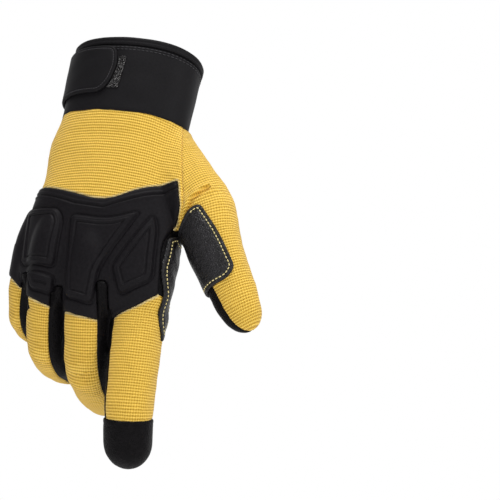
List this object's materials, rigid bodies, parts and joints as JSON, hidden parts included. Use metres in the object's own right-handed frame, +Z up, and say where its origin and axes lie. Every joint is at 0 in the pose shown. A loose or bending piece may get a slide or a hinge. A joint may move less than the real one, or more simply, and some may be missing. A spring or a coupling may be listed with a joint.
{
  "type": "safety glove",
  "caption": "Right-hand mechanic's work glove, knit back with moulded knuckle pad, leather palm and strapped cuff, in the form of a pointing hand",
  "frame": {"origin": "centre of the cuff's opening", "axes": "+Z up the forearm, fingers to -Z, back of the hand to -Y, thumb to +X"},
  "size_m": [0.1459, 0.1044, 0.2292],
  "materials": {
    "knit": "ribbed yellow stretch knit",
    "moulded_pad": "black moulded pad, satin",
    "leather": "black grained synthetic leather",
    "neoprene": "black satin neoprene",
    "loop_fabric": "black loop pile"
  },
  "bodies": {
    "root": {"index_tip_cap": "leather", "side_wall_index_middle": "leather", "side_wall_middle_ring": "leather", "side_wall_ring_little": "leather", "knuckle_pad": "moulded_pad", "index_back": "knit", "middle_back": "knit", "ring_back": "knit", "little_back": "knit", "thumb_back": "knit", "hand_back": "knit", "palm": "leather", "palm_patch": "leather", "thumb_patch": "leather", "side_patch": "leather", "cuff": "neoprene", "cuff_hem": "neoprene", "wrist_strap": "neoprene", "loop_strip": "loop_fabric"}
  },
  "joints": []
}
